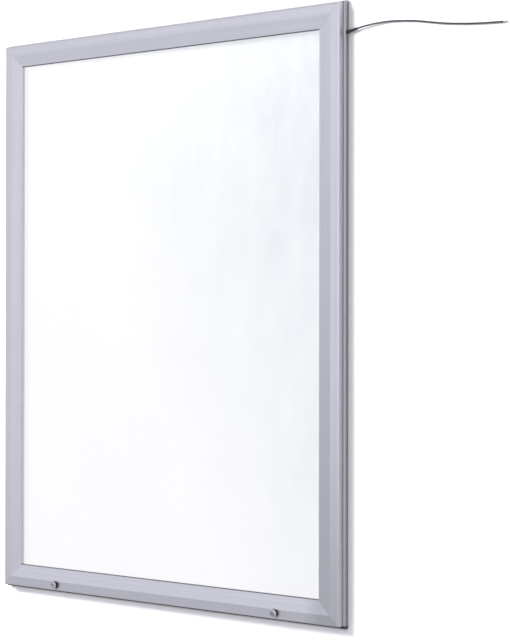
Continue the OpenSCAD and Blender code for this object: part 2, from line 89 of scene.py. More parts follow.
def blank_finish(name):
    """A material with its output and shader, and the surface's own coordinates."""
    material = bpy.data.materials.new(name)
    material.use_nodes = True
    tree = material.node_tree
    tree.nodes.clear()
    shader = node(tree, "ShaderNodeBsdfPrincipled")
    output = node(tree, "ShaderNodeOutputMaterial", {"Surface": shader.outputs["BSDF"]})
    place = node(tree, "ShaderNodeTexCoord").outputs["Object"]
    return material, tree, shader, output, place


def maths(tree, operation, *values):
    return node(tree, "ShaderNodeMath", dict(enumerate(values)), operation=operation).outputs["Value"]


def axes(tree, place):
    return node(tree, "ShaderNodeSeparateXYZ", {"Vector": place}).outputs


def reach(tree, place, direction):
    """How far a place lies in a direction."""
    made = node(tree, "ShaderNodeVectorMath", {0: place, 1: direction}, operation="DOT_PRODUCT")
    return made.outputs["Value"]


def noise(tree, place, scale, detail, **more):
    made = node(tree, "ShaderNodeTexNoise", {"Vector": place, "Scale": scale, "Detail": detail, **more})
    return made.outputs["Fac"]


def spread(tree, value, low, high, from_low=0.0, from_high=1.0):
    made = node(tree, "ShaderNodeMapRange", {
        "Value": value, "From Min": from_low, "From Max": from_high, "To Min": low, "To Max": high})
    return made.outputs["Result"]


def rise(tree, value, start, end):
    return spread(tree, value, 0.0, 1.0, start, end)


def fall(tree, value, start, end):
    return spread(tree, value, 1.0, 0.0, start, end)


def lay_over(tree, tone, share, colour):
    """Lays a plain colour over a tone by a share."""
    mix = node(tree, "ShaderNodeMix", {"Factor": share, "A": tone, "B": (*colour, 1)}, data_type="RGBA")
    return mix.outputs["Result"]


def blend_colour(tree, share, low, high):
    return lay_over(tree, (*low, 1), share, high)


def relief(tree, height, strength, distance):
    bump = node(tree, "ShaderNodeBump", {"Height": height, "Strength": strength, "Distance": distance})
    return bump.outputs["Normal"]


def let_through(tree, shader, output, share):
    """Makes a surface clear by a share."""
    clear = node(tree, "ShaderNodeBsdfTransparent").outputs["BSDF"]
    mixed = node(tree, "ShaderNodeMixShader", {0: share, 1: shader.outputs["BSDF"], 2: clear})
    give(tree, output, {"Surface": mixed.outputs["Shader"]})


# Shared surface effects

def effect(name, outputs, scale=None):
    """A node group that takes a place, and a scale where it has one, and puts out shares."""
    group = bpy.data.node_groups.new(name, "ShaderNodeTree")
    group.interface.new_socket("Place", in_out="INPUT", socket_type="NodeSocketVector")
    if scale is not None:
        size = group.interface.new_socket("Scale", in_out="INPUT", socket_type="NodeSocketFloat")
        size.default_value = scale
    for label in outputs:
        group.interface.new_socket(label, in_out="OUTPUT", socket_type="NodeSocketFloat")
    return group, group.nodes.new("NodeGroupInput").outputs, group.nodes.new("NodeGroupOutput")


def make_die_lines():
    """Fine lines that an extrusion die leaves along a profile. The place comes in stretched along them."""
    group, given, result = effect("die_lines", ["Lines", "Bands"])
    fine = noise(group, given["Place"], 9.0, 3.0, Roughness=0.6)
    broad = noise(group, given["Place"], 0.8, 2.0)
    give(group, result, {"Lines": rise(group, fine, 0.36, 0.64), "Bands": rise(group, broad, 0.35, 0.65)})
    return group


def make_handling():
    """Soft smears and a few short scratches from hands and cloths."""
    group, given, result = effect("handling", ["Smears", "Scratches"], 14.0)
    smears = rise(group, noise(
        group, given["Place"], given["Scale"], 5.0, Roughness=0.55, Distortion=0.8), 0.42, 0.72)
    cells = node(group, "ShaderNodeTexVoronoi", {
        "Vector": given["Place"], "Scale": 60.0, "Randomness": 1.0}, feature="DISTANCE_TO_EDGE")
    thin = fall(group, cells.outputs["Distance"], 0.0, 0.02)
    give(group, result, {"Smears": smears, "Scratches": maths(group, "MULTIPLY", thin, smears)})
    return group


def make_moulded_grain():
    """The close grain and slow shading of moulded plastic, rubber and coated sheet."""
    group, given, result = effect("moulded_grain", ["Grain", "Shade"], 900.0)
    give(group, result, {
        "Grain": noise(group, given["Place"], given["Scale"], 2.0),
        "Shade": noise(group, given["Place"], 22.0, 4.0)})
    return group


def make_zinc_flakes():
    """Small crystals and dull patches of zinc or tin plating."""
    group, given, result = effect("zinc_flakes", ["Flakes", "Dull"])
    flakes = node(group, "ShaderNodeTexVoronoi", {"Vector": given["Place"], "Scale": 700.0}, feature="F1")
    give(group, result, {
        "Flakes": flakes.outputs["Color"], "Dull": noise(group, given["Place"], 160.0, 4.0)})
    return group


DIE_LINES = make_die_lines()
HANDLING = make_handling()
MOULDED_GRAIN = make_moulded_grain()
ZINC_FLAKES = make_zinc_flakes()


def use(tree, group, **inputs):
    return node(tree, "ShaderNodeGroup", inputs, node_tree=group).outputs


# Finishes

def in_reveal(tree, place):
    """One on the narrow faces that look into the opening behind the door's lip, and nought elsewhere."""
    lip_inset, lip_front = 0.0336, -0.01592
    way = axes(tree, place)
    share = rise(tree, way["Y"], lip_front, lip_front + 0.00008)
    for axis, edge in (("X", DOOR_SIDE * MM - lip_inset), ("Z", DOOR_TOP * MM - lip_inset)):
        away = maths(tree, "ABSOLUTE", way[axis])
        share = maths(tree, "MULTIPLY", share, fall(tree, away, edge - 0.0002, edge))
    return share


def painted_light_tones(tree, place):
    """Shares and tones of painted shade and painted highlight on the frame, the later over the earlier:
    painted shade on the right stile's inner slope and lower end, the top edge, the outer sides, the door's
    skirt, the base's side and the lower rim, and a painted highlight along the right edge.
    """
    side, top = DOOR_SIDE * MM, DOOR_TOP * MM
    crest = side - 0.015
    way = axes(tree, place)
    x, y, z = way["X"], way["Y"], way["Z"]
    inner_slope = maths(
        tree, "MULTIPLY", fall(tree, x, crest - 0.0005, crest + 0.0005), fall(tree, z, -0.25, 0.42))
    lower_end = maths(tree, "MAXIMUM", inner_slope, fall(tree, z, -0.43, -0.10))
    right_stile_shade = maths(tree, "MULTIPLY", lower_end, rise(tree, x, 0.262, 0.288))
    upper_edge_shade = rise(tree, z, top - 0.0030, top - 0.0023)
    right_edge_highlight = maths(
        tree, "MULTIPLY", rise(tree, x, side - 0.0034, side - 0.0028), spread(tree, z, 0.2, 0.9, -0.45, 0.15))
    shaded_outer_sides = maths(tree, "MAXIMUM", *[
        rise(tree, maths(tree, "ABSOLUTE", away), edge - 0.0008, edge - 0.0005)
        for away, edge in ((x, side), (z, top))])
    door_skirt_shade = maths(tree, "MULTIPLY", shaded_outer_sides, fall(tree, y, -0.0083, -0.0080))
    base_side_shade = maths(tree, "MULTIPLY", shaded_outer_sides, rise(tree, y, -0.0073, -0.0064))
    lower_rim_shade = fall(tree, z, 0.0005 - top, 0.0010 - top)
    # Painted shade, darkest on the lower rim under the door, and one painted highlight along the right edge.
    return (
        (right_stile_shade, (0.585, 0.585, 0.65)),
        (upper_edge_shade, (0.60, 0.60, 0.66)),
        (right_edge_highlight, (0.84, 0.845, 0.93)),
        (shaded_outer_sides, (0.66, 0.66, 0.715)),
        (door_skirt_shade, (0.53, 0.53, 0.585)),
        (base_side_shade, (0.33, 0.33, 0.36)),
        (lower_rim_shade, (0.10, 0.10, 0.11)))


def anodised(name, stretch, reveal_painted_shade):
    """Satin silver anodised aluminium with die lines along the profile. The reveal in the lip gets a painted
    shade, and set places of the frame get painted shade and a painted highlight.
    """
    material, tree, shader, _, place = blank_finish(name)
    along = node(tree, "ShaderNodeMapping", {"Vector": place, "Scale": stretch}).outputs["Vector"]
    lines = use(tree, DIE_LINES, Place=along)
    marks = use(tree, HANDLING, Place=place)
    tone = blend_colour(tree, lines["Bands"], (0.712, 0.717, 0.800), (0.747, 0.752, 0.836))
    tone = lay_over(tree, tone, spread(tree, marks["Scratches"], 0.0, 0.25), (0.86, 0.86, 0.89))
    # Painted shade over the reveal in the lip: dark along the rails, lighter along the stiles.
    tone = lay_over(tree, tone, in_reveal(tree, place), reveal_painted_shade)
    # Painted shade and painted highlight, laid on by place.
    for share, own in painted_light_tones(tree, place):
        tone = lay_over(tree, tone, share, own)
    streaks = spread(tree, lines["Lines"], 0.36, 0.46)
    give(tree, shader, {
        "Base Color": tone, "Metallic": 1.0,
        "Roughness": maths(tree, "ADD", streaks, spread(tree, marks["Smears"], 0.0, 0.05)),
        "Normal": relief(tree, lines["Lines"], 0.12, 0.00005)})
    return material


def plated_steel():
    """Zinc-plated steel with small crystals and dull patches."""
    material, tree, shader, _, place = blank_finish("zinc_plated_steel")
    zinc = use(tree, ZINC_FLAKES, Place=place)
    give(tree, shader, {
        "Base Color": blend_colour(tree, zinc["Dull"], (0.50, 0.51, 0.53), (0.66, 0.65, 0.62)),
        "Roughness": spread(tree, zinc["Flakes"], 0.26, 0.42), "Metallic": 1.0,
        "Normal": relief(tree, zinc["Dull"], 0.15, 0.00005)})
    return material


def lock_chrome(name, bright_from, black_from):
    """Satin chrome face. Whatever lies below the face, the head's sides or the key slot, is painted black as
    shade.
    """
    material, tree, shader, _, place = blank_finish(name)
    marks = use(tree, HANDLING, Place=place, Scale=180.0)
    bright = blend_colour(tree, marks["Smears"], (0.66, 0.66, 0.71), (0.59, 0.59, 0.64))
    # Painted shade: black on the head's sides and in the key slot.
    below = rise(tree, axes(tree, place)["Y"], bright_from, black_from)
    give(tree, shader, {
        "Base Color": lay_over(tree, bright, below, (0.03, 0.03, 0.035)), "Metallic": 1.0,
        "Roughness": spread(tree, marks["Smears"], 0.10, 0.20)})
    return material


def moulded(name, dark, pale, rough, bump, grain_scale=900.0):
    """Plastic, rubber or film with a moulded grain."""
    material, tree, shader, _, place = blank_finish(name)
    grain = use(tree, MOULDED_GRAIN, Place=place, Scale=grain_scale)
    give(tree, shader, {
        "Base Color": blend_colour(tree, rise(tree, grain["Shade"], 0.3, 0.7), dark, pale),
        "Roughness": spread(tree, grain["Grain"], rough - 0.06, rough + 0.06, 0.3, 0.7),
        "Normal": relief(tree, grain["Grain"], bump, 0.0001)})
    return material


def seal_rubber():
    """Grey rubber seal, with painted shade that makes it darker along the rails than along the stiles."""
    material, tree, shader, _, place = blank_finish("seal_rubber")
    grain = use(tree, MOULDED_GRAIN, Place=place, Scale=900.0)
    lip = (DOOR_TOP - SEAL_LIP_INSET) * MM
    # Painted shade: along the rails the seal takes the dark colour, along the stiles the grey.
    on_stile = fall(tree, maths(tree, "ABSOLUTE", axes(tree, place)["Z"]), lip - 0.0001, lip + 0.0001)
    shade = maths(tree, "MULTIPLY", spread(tree, grain["Shade"], 0.9, 1.0, 0.3, 0.7), on_stile)
    give(tree, shader, {
        "Base Color": blend_colour(tree, shade, (0.10, 0.10, 0.115), (0.46, 0.46, 0.48)),
        "Roughness": spread(tree, grain["Grain"], 0.49, 0.61, 0.3, 0.7),
        "Normal": relief(tree, grain["Grain"], 0.1, 0.0001)})
    return material


def coated_back_sheet():
    """White coated sheet with a fine orange peel and rub marks."""
    material, tree, shader, _, place = blank_finish("coated_back_sheet")
    grain = use(tree, MOULDED_GRAIN, Place=place, Scale=500.0)
    marks = use(tree, HANDLING, Place=place, Scale=7.0)
    coat = blend_colour(
        tree, rise(tree, grain["Shade"], 0.3, 0.7), (0.725, 0.735, 0.745), (0.755, 0.765, 0.775))
    give(tree, shader, {
        "Base Color": lay_over(tree, coat, spread(tree, marks["Scratches"], 0.0, 0.25), (0.58, 0.58, 0.60)),
        "Roughness": spread(tree, marks["Smears"], 0.47, 0.52),
        "Normal": relief(tree, grain["Grain"], 0.12, 0.00008)})
    return material


def lit_opal():
    """Opal sheet, lit from behind, with faint clouds that grow a little darker to the right and up."""
    material, tree, shader, _, place = blank_finish("lit_opal_sheet")
    streaked = node(tree, "ShaderNodeMapping", {"Vector": place, "Scale": (16.0, 1.0, 6.0)}).outputs["Vector"]
    clouds = spread(tree, noise(tree, streaked, 1.0, 6.0, Roughness=0.65), 0.6, 1.0, 0.35, 0.65)
    share = maths(tree, "MULTIPLY", clouds, rise(tree, reach(tree, place, (2.0, 0.0, 0.9)), -0.15, 0.75))
    give(tree, shader, {
        "Base Color": blend_colour(tree, share, (0.015, 0.015, 0.015), (0.014, 0.015, 0.016)),
        "Emission Color": blend_colour(tree, share, (0.925, 0.91, 0.94), (0.69, 0.725, 0.765)),
        "Emission Strength": 1.0, "Roughness": spread(tree, share, 0.30, 0.38)})
    return material


def light_guide_acrylic():
    """Clear acrylic with the grid of printed dots that lets light out."""
    material, tree, shader, _, place = blank_finish("light_guide_acrylic")
    dots = node(tree, "ShaderNodeTexVoronoi", {
        "Vector": place, "Scale": 250.0, "Randomness": 0.0}, feature="F1")
    share = fall(tree, dots.outputs["Distance"], 0.22, 0.27)
    give(tree, shader, {
        "Base Color": blend_colour(tree, share, (0.93, 0.97, 0.96), (0.95, 0.95, 0.95)),
        "Roughness": spread(tree, share, 0.04, 0.6), "IOR": 1.49, "Transmission Weight": 1.0})
    return material


def circuit_board():
    """White solder mask with the faint rise of copper tracks under it."""
    material, tree, shader, _, place = blank_finish("white_circuit_board")
    upright = node(tree, "ShaderNodeMapping", {"Vector": place, "Rotation": (math.pi / 2, 0, math.pi / 2)})
    tracks = node(tree, "ShaderNodeTexBrick", {
        "Vector": upright.outputs["Vector"], "Scale": 50.0, "Mortar Size": 0.02,
        "Mortar": (0.70, 0.66, 0.55, 1),
        "Color1": (0.86, 0.86, 0.84, 1), "Color2": (0.82, 0.83, 0.80, 1)}).outputs
    give(tree, shader, {
        "Base Color": tracks["Color"], "Roughness": spread(tree, tracks["Fac"], 0.32, 0.5),
        "Normal": relief(tree, tracks["Fac"], 0.2, 0.00005)})
    return material


def led_phosphor():
    """The yellow phosphor of lit white LEDs."""
    material, tree, shader, _, place = blank_finish("led_phosphor")
    grain = use(tree, MOULDED_GRAIN, Place=place, Scale=3000.0)["Grain"]
    give(tree, shader, {
        "Base Color": blend_colour(tree, grain, (0.90, 0.78, 0.30), (0.95, 0.88, 0.50)), "Roughness": 0.4,
        "Emission Color": blend_colour(tree, grain, (1.0, 0.95, 0.84), (1.0, 0.98, 0.92)),
        "Emission Strength": 1.5})
    return material


def tinned_copper():
    """Tinned copper strands."""
    material, tree, shader, _, place = blank_finish("tinned_copper")
    dull = use(tree, ZINC_FLAKES, Place=place)["Dull"]
    give(tree, shader, {
        "Base Color": blend_colour(tree, dull, (0.20, 0.175, 0.165), (0.28, 0.255, 0.24)), "Metallic": 1.0,
        "Roughness": spread(tree, dull, 0.2, 0.4)})
    return material


def clear_pane():
    """Clear acrylic pane. Light for shadows passes straight through it."""
    material, tree, shader, output, place = blank_finish("clear_acrylic_pane")
    smears = use(tree, HANDLING, Place=place, Scale=4.0)["Smears"]
    give(tree, shader, {
        "Base Color": blend_colour(tree, smears, (0.99, 1.0, 0.997), (0.975, 0.985, 0.985)),
        "Roughness": spread(tree, smears, 0.0, 0.03), "IOR": 1.49, "Transmission Weight": 1.0})
    let_through(tree, shader, output, node(tree, "ShaderNodeLightPath").outputs["Is Shadow Ray"])
    return material


# The reveal tones are painted shade, darker along the rails than along the stiles.
rail_metal = anodised("anodised_rail", (2.0, 300.0, 300.0), (0.25, 0.25, 0.28))
stile_metal = anodised("anodised_stile", (300.0, 300.0, 2.0), (0.62, 0.62, 0.66))
steel = plated_steel()
ring_chrome = lock_chrome("chrome_ring", -0.0227, -0.0222)
plug_chrome = lock_chrome("chrome_plug", -0.02315, -0.02305)
back_coat = coated_back_sheet()
opal = lit_opal()
guide = light_guide_acrylic()
film = moulded("white_reflector_film", (0.86, 0.86, 0.87), (0.90, 0.90, 0.90), 0.35, 0.05)
board = circuit_board()
phosphor = led_phosphor()
nylon = moulded("dark_nylon", (0.035, 0.035, 0.038), (0.06, 0.06, 0.065), 0.45, 0.1)
gland_rubber = moulded("gland_rubber", (0.018, 0.018, 0.02), (0.035, 0.035, 0.038), 0.55, 0.15, 2500.0)
splice_plastic = moulded("splice_plastic", (0.62, 0.63, 0.64), (0.72, 0.72, 0.72), 0.38, 0.08, 2000.0)
sleeve = moulded("wire_sleeve", (0.72, 0.72, 0.71), (0.80, 0.80, 0.79), 0.40, 0.06, 2000.0)
jacket = moulded("lead_jacket", (0.042, 0.038, 0.044), (0.072, 0.067, 0.075), 0.42, 0.1, 2500.0)
copper = tinned_copper()
pane = clear_pane()
seal = seal_rubber()


# The supply lead, from the splice in the case out along the wall

# Distances out from the case's side, off the wall, and up from where the lead leaves
LEAD_ROUTE = [
    (-6.25, LEAD_OFF_WALL, 0), (-3.5, LEAD_OFF_WALL, 0), (-1, LEAD_OFF_WALL, 0), (1.5, LEAD_OFF_WALL, 0.2),
    (4, LEAD_OFF_WALL, 0.72),
    (SLEEVE_ROOT + 17.5 * math.cos(SLEEVE_TILT), LEAD_OFF_WALL, 17.5 * math.sin(SLEEVE_TILT)),
    (28, 4, 5.5), (43.5, 3.4, 7.3), (59, 2.8, 8.2), (71, 2.3, 8.15), (83, 2, 7.3), (98.5, 2, 5.8),
    (114, 2, 3.6), (129.5, 2, 0.5), (145, 2, -2.4), (160, 2, -4.8), (175, 2, -6.7), (190, 2, -8.3),
    (205, 2, -9.5), (220, 2, -10.4), (240, 2, -11.3)]


def supply_lead():
    points = [Vector((CASE_SIDE + out, -off, LEAD_UP + up)) * MM for out, off, up in LEAD_ROUTE]
    line = bpy.data.curves.new("supply_lead", "CURVE")
    line.dimensions = "3D"
    line.bevel_depth = LEAD_RADIUS * MM
    line.bevel_resolution = 5
    line.resolution_u = 8
    line.use_fill_caps = True
    spline = line.splines.new("BEZIER")
    spline.bezier_points.add(len(points) - 1)
    for i, spot in enumerate(spline.bezier_points):
        ahead = (points[min(i + 1, len(points) - 1)] - points[max(i - 1, 0)]) / 6
        spot.handle_left_type = spot.handle_right_type = "FREE"
        spot.co = points[i]
        spot.handle_left = points[i] - ahead
        spot.handle_right = points[i] + ahead
    lead = bpy.data.objects.new("supply_lead", line)
    bpy.context.scene.collection.objects.link(lead)
    line.materials.append(jacket)
    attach(lead, "base")
    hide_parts("power_lead")
    return lead, points[0]


lead, lead_start = supply_lead()


# Piece helpers

def finish_piece(bm, name, material, body, slot, *stands_for, smooth=35):
    """Makes an object of a bmesh in millimetres, with its finish, body and CAD nodes."""
    bmesh.ops.remove_doubles(bm, verts=bm.verts, dist=0.0005)
    bmesh.ops.recalc_face_normals(bm, faces=bm.faces)
    bmesh.ops.scale(bm, vec=(MM, MM, MM), verts=bm.verts)
    mesh = bpy.data.meshes.new(name)
    bm.to_mesh(mesh)
    bm.free()
    mesh.shade_smooth()
    mesh.set_sharp_from_angle(angle=math.radians(smooth))
    mesh.materials.append(material)
    piece = bpy.data.objects.new(name, mesh)
    bpy.context.scene.collection.objects.link(piece)
    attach(piece, body)
    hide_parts(*stands_for)
    return piece


def place_at(bm, matrix):
    bmesh.ops.transform(bm, matrix=matrix, verts=bm.verts)


def spun(bm, points, steps, closed):
    """Spins a line of points once round Z."""
    line = [bm.verts.new(point) for point in points]
    edges = [bm.edges.new(pair) for pair in zip(line, line[1:] + line[:1] if closed else line[1:])]
    bmesh.ops.spin(
        bm, geom=line + edges, cent=(0, 0, 0), axis=(0, 0, 1), angle=math.tau, steps=steps, use_merge=True)


def turned(bm, profile, steps, closed=False):
    """Turns a profile of (radius, height) about Z."""
    spun(bm, [(radius, 0, height) for radius, height in profile], steps, closed)
    bmesh.ops.remove_doubles(bm, verts=bm.verts, dist=0.0005)


def block(bm, size, height):
    verts = bmesh.ops.create_cube(bm, size=1)["verts"]
    bmesh.ops.scale(bm, vec=size, verts=verts)
    bmesh.ops.translate(bm, vec=(0, 0, height), verts=verts)
    return verts


def round_edges(bm, edges, offset, segments):
    bmesh.ops.bevel(
        bm, geom=edges, offset=offset, offset_type="OFFSET", segments=segments, profile=0.5, affect="EDGES",
        material=-1)


def level_with(verts, height):
    return all(abs(vert.co.z - height) < 1e-4 for vert in verts)


def flat_faces(bm, height):
    return [face for face in bm.faces if level_with(face.verts, height)]


def cap(bm, height):
    """Closes the open round edge at a height with one face."""
    rim = [edge for edge in bm.edges if edge.is_boundary and level_with(edge.verts, height)]
    bmesh.ops.contextual_create(bm, geom=rim)


def sink(bm, height, cuts, inside, depth, taper=1.0):
    """Cuts the flat end at a height along X and Y, and pushes the faces that lie inside down by a depth."""
    for direction, offsets in zip(((1, 0, 0), (0, 1, 0)), cuts):
        for offset in offsets:
            faces = flat_faces(bm, height)
            edges = {edge for face in faces for edge in face.edges}
            verts = {vert for face in faces for vert in face.verts}
            bmesh.ops.bisect_plane(
                bm, geom=[*verts, *edges, *faces], plane_co=Vector(direction) * offset, plane_no=direction)
    chosen = [face for face in flat_faces(bm, height) if inside(face.calc_center_median())]
    pushed = bmesh.ops.extrude_face_region(bm, geom=chosen)["geom"]
    verts = [item for item in pushed if isinstance(item, bmesh.types.BMVert)]
    bmesh.ops.translate(bm, vec=(0, 0, -depth), verts=verts)
    bmesh.ops.scale(bm, vec=(taper, taper, 1), verts=verts)


def cross_screw(profile, arm, half, depth):
    """Screw turned from its point up to the flat of its head, with a cross recess there."""
    bm = bmesh.new()
    turned(bm, profile, 32)
    flat = profile[-1][1]
    cap(bm, flat)
    cuts = (-arm, -half, half, arm)
    sink(bm, flat, (cuts, cuts), lambda c: (
        min(abs(c.x), abs(c.y)) < half and max(abs(c.x), abs(c.y)) < arm), depth, 0.75)
    return bm


def repeated(one, places, onto=None):
    """Copies of a piece at several places, as one bmesh or added to another."""
    part = bpy.data.meshes.new("part")
    one.to_mesh(part)
    one.free()
    many = bmesh.new() if onto is None else onto
    for place in places:
        start = len(many.verts)
        many.from_mesh(part)
        many.verts.ensure_lookup_table()
        bmesh.ops.transform(many, matrix=place, verts=many.verts[start:])
    bpy.data.meshes.remove(part)
    return many


def at(spots, facing):
    return [Matrix.Translation((x, 0, z)) @ facing for x, z in spots]


def four_ways(x, z):
    return [(sx * x, sz * z) for sx in (-1, 1) for sz in (-1, 1)]


# Locks

def lock_ring(side, spot):
    """Threaded barrel with a domed front ring."""
    bm = bmesh.new()
    thread = [(4.5 - 0.16 * (i % 2), 7.0 + 0.45 * i) for i in range(24)]
    turned(bm, [
        (3.25, 6.4), (4.2, 6.4), (4.5, 6.7), *thread, (4.5, 18.2), (6.3, 18.2), (6.45, 18.28), (6.5, 18.45),
        (6.5, 22.2), (6.43, 22.65), (6.22, 23.05), (5.9, 23.35), (5.5, 23.53), (5.1, 23.6), (4.75, 23.57),
        (4.5, 23.42), (4.32, 23.15), (4.25, 22.8), (4.25, 21.6), (3.25, 21.6)], 64, closed=True)
    place_at(bm, at([spot], FRONT)[0])
    finish_piece(bm, "lock_ring_" + side, ring_chrome, "door", "lock_chrome", "lock_barrel_" + side)


def lock_plug(side, spot):
    """Turning plug with a key slot in front and a square drive behind."""
    face, half_length, half_width = 23.25, 2.2, 0.7
    bm = bmesh.new()
    turned(bm, [
        (0, 6.4), (3.0, 6.4), (3.2, 6.6), (3.2, 21.65), (4.05, 21.65), (4.2, 21.8), (4.2, 22.95),
        (4.12, 23.12), (3.95, 23.23), (3.7, face)], 64)
    cap(bm, face)
    sink(bm, face, ((-half_length, half_length), (-half_width, half_width)), lambda c: (
        abs(c.x) < half_length and abs(c.y) < half_width), 4.5)
    drive = block(bm, (3.4, 3.4, 1.95), 5.425)
    round_edges(bm, [edge for edge in bm.edges if all(vert in drive for vert in edge.verts)], 0.15, 2)
    place_at(bm, at([spot], FRONT)[0])
    finish_piece(bm, "key_plug_" + side, plug_chrome, side + "_lock", "lock_chrome", "lock_plug_" + side)


def cam_screw(side, spot):
    bm = cross_screw([
        (0, -8.5), (0.75, -8.5), (0.95, -8.2), (0.95, -4.4), (2.4, -4.4), (2.5, -4.3), (2.45, -3.85),
        (2.2, -3.58), (1.8, -3.5)], 1.15, 0.28, 0.6)
    place_at(bm, at([spot], BACK)[0])
    finish_piece(bm, "cam_fixing_screw_" + side, steel, side + "_lock", "plated_steel", "cam_screw_" + side)


for side, spot in LOCK_SPOTS.items():
    lock_ring(side, spot)
    lock_plug(side, spot)
    cam_screw(side, spot)


# Pane seal

def mitred_ring(bm, profile):
    """Sweeps a closed profile of (distance in from the door's edge, height) round the door."""
    square = 50
    spun(bm, [(square - inset, square - inset, height) for inset, height in profile], 4, True)
    for x, y in four_ways(DOOR_SIDE - square, DOOR_TOP - square):
        corner = [vert for vert in bm.verts if vert.co.x * x > 0 and vert.co.y * y > 0]
        bmesh.ops.translate(bm, vec=(x, y, 0), verts=corner)


def pane_seal():
    """Grey seal gripping the pane's edge, with a rounded lip that shows inside the door's opening."""
    bm = bmesh.new()
    mitred_ring(bm, [
        (26.3, 10.85), (33.5, 10.85), (33.5, 12.25), (27.45, 12.25), (27.45, 14.34), (SEAL_LIP_INSET, 14.34),
        (36.55, 14.7), (36.3, 15.1), (35.9, 15.4), (35.5, 15.52), (35.06, 15.55), (35.06, 14.66),
        (26.3, 14.66)])
    place_at(bm, FRONT)
    finish_piece(bm, "pane_seal", seal, "door", "gasket_rubber", "pane_gasket")


pane_seal()


# Screws

def pan_head(seat):
    """Pan-head screw, its head standing forward from its seat."""
    return cross_screw([
        (0, 1.55), (1.2, 1.55), (1.5, 1.85), (1.5, seat), (2.6, seat), (2.7, seat + 0.1), (2.68, seat + 0.6),
        (2.5, seat + 1.05), (2.15, seat + 1.32), (1.75, seat + 1.4)], 1.45, 0.34, 0.9)


def door_screw():
    return cross_screw([
        (0, -13.8), (1.2, -13.8), (1.5, -13.4), (1.5, -9.45), (2.6, -9.45), (2.7, -9.35), (2.62, -8.95),
        (2.35, -8.6), (1.9, -8.45)], 1.5, 0.34, 0.7)


def countersunk_screw():
    return cross_screw([
        (0, -2.95), (1.3, -2.95), (1.5, -2.8), (1.5, -1.2), (2.7, -0.15), (2.75, -0.08), (2.7, -0.05),
        (2.2, -0.05)], 1.6, 0.36, 0.85)


def screws(one, spots, facing, name, body, stands_for):
    finish_piece(repeated(one, at(spots, facing)), name, steel, body, "plated_steel", stands_for)


screws(
    pan_head(5.1), four_ways(286, SCREW_TOP) + four_ways(SCREW_SIDE, 409.5), FRONT,
    "base_key_screws", "base", "base_corner_screws")
screws(
    pan_head(4.2), four_ways(149.96, SCREW_TOP) + four_ways(SCREW_SIDE, 197.78), FRONT,
    "clip_screws", "base", "panel_clip_screws")
screws(
    door_screw(), four_ways(270, DOOR_TOP - 14) + four_ways(DOOR_SIDE - 14, 393.5), BACK,
    "door_key_screws", "door", "door_corner_screws")
screws(
    countersunk_screw(), four_ways(234.72, SCREW_TOP) + four_ways(SCREW_SIDE, 251.72) + [
        (0, SCREW_TOP), (0, -SCREW_TOP), (SCREW_SIDE, 0), (-SCREW_SIDE, 0)], BACK,
    "back_sheet_screws", "base", "back_panel_screws")


# Strain relief, bare cores and splice

def strain_relief():
    """Rubber grommet in the case's side, with a ribbed sleeve that turns up with the lead."""
    bm = bmesh.new()
    ribs = []
    for i in range(6):
        start = 2.2 + 2.3 * i
        outer = 2.5 - 0.052 * (start - 1.2)
        ribs += [
            (outer - 0.36, start), (outer - 0.06, start + 0.18), (outer, start + 0.5), (outer, start + 1.3),
            (outer - 0.06, start + 1.6), (outer - 0.36, start + 1.78)]
    turned(bm, [
        (1.45, 0.2), (2.5, 0.2), (2.5, 1.6), (2.1, 2.0), *ribs, (1.7, 16.4), (1.72, 16.85), (1.62, 17),
        (1.32, 17)], 40, closed=True)
    place_at(bm, Matrix.Translation((SLEEVE_ROOT, 0, 0)) @ Matrix.Rotation(math.pi / 2 - SLEEVE_TILT, 4, "Y"))
    grommet = bmesh.new()
    turned(grommet, [
        (1.5, -2.8), (2.0, -2.8), (2.1, -2.7), (2.1, -1.65), (1.85, -1.65), (1.85, 0.05), (2.85, 0.05),
        (3.0, 0.2), (3.0, 0.75), (2.9, 0.95), (2.7, 1.1), (2.4, 1.2), (1.5, 1.2)], 40, closed=True)
    repeated(grommet, [Matrix.Rotation(math.pi / 2, 4, "Y")], onto=bm)
    bmesh.ops.translate(bm, vec=(CASE_SIDE, -LEAD_OFF_WALL, LEAD_UP), verts=bm.verts)
    finish_piece(bm, "ribbed_strain_relief", gland_rubber, "base", "gland_rubber", "cable_gland", smooth=50)


def bare_cores():
    """Two twisted cores of seven strands each at the lead's free end."""
    strand_radius, length, twist, steps = 0.133, 8, math.tau * 1.2, 24
    bm = bmesh.new()
    for core in (-0.6, 0.6):
        for i in range(7):
            angle = math.tau * i / 6
            out = 2 * strand_radius if i < 6 else 0
            strand = bmesh.ops.create_circle(bm, cap_ends=True, segments=8, radius=strand_radius)["verts"]
            bmesh.ops.translate(
                bm, vec=(out * math.cos(angle), core + out * math.sin(angle), 0), verts=strand)
            edges = {edge for vert in strand for edge in vert.link_edges}
            faces = {face for vert in strand for face in vert.link_faces}
            bmesh.ops.spin(
                bm, geom=[*strand, *edges, *faces], cent=(0, core, 0), axis=(0, 0, 1),
                dvec=(0, 0, length / steps), angle=twist, steps=steps)
    before, end = LEAD_ROUTE[-2:]
    slope = math.atan2(end[2] - before[2], end[0] - before[0])
    place_at(bm, (
        Matrix.Translation((CASE_SIDE + end[0], -end[1], LEAD_UP + end[2]))
        @ Matrix.Rotation(math.pi / 2 - slope, 4, "Y") @ Matrix.Rotation(math.pi / 2, 4, "Z")))
    return finish_piece(bm, "bare_lead_cores", copper, "base", "copper", "lead_cores", smooth=60)


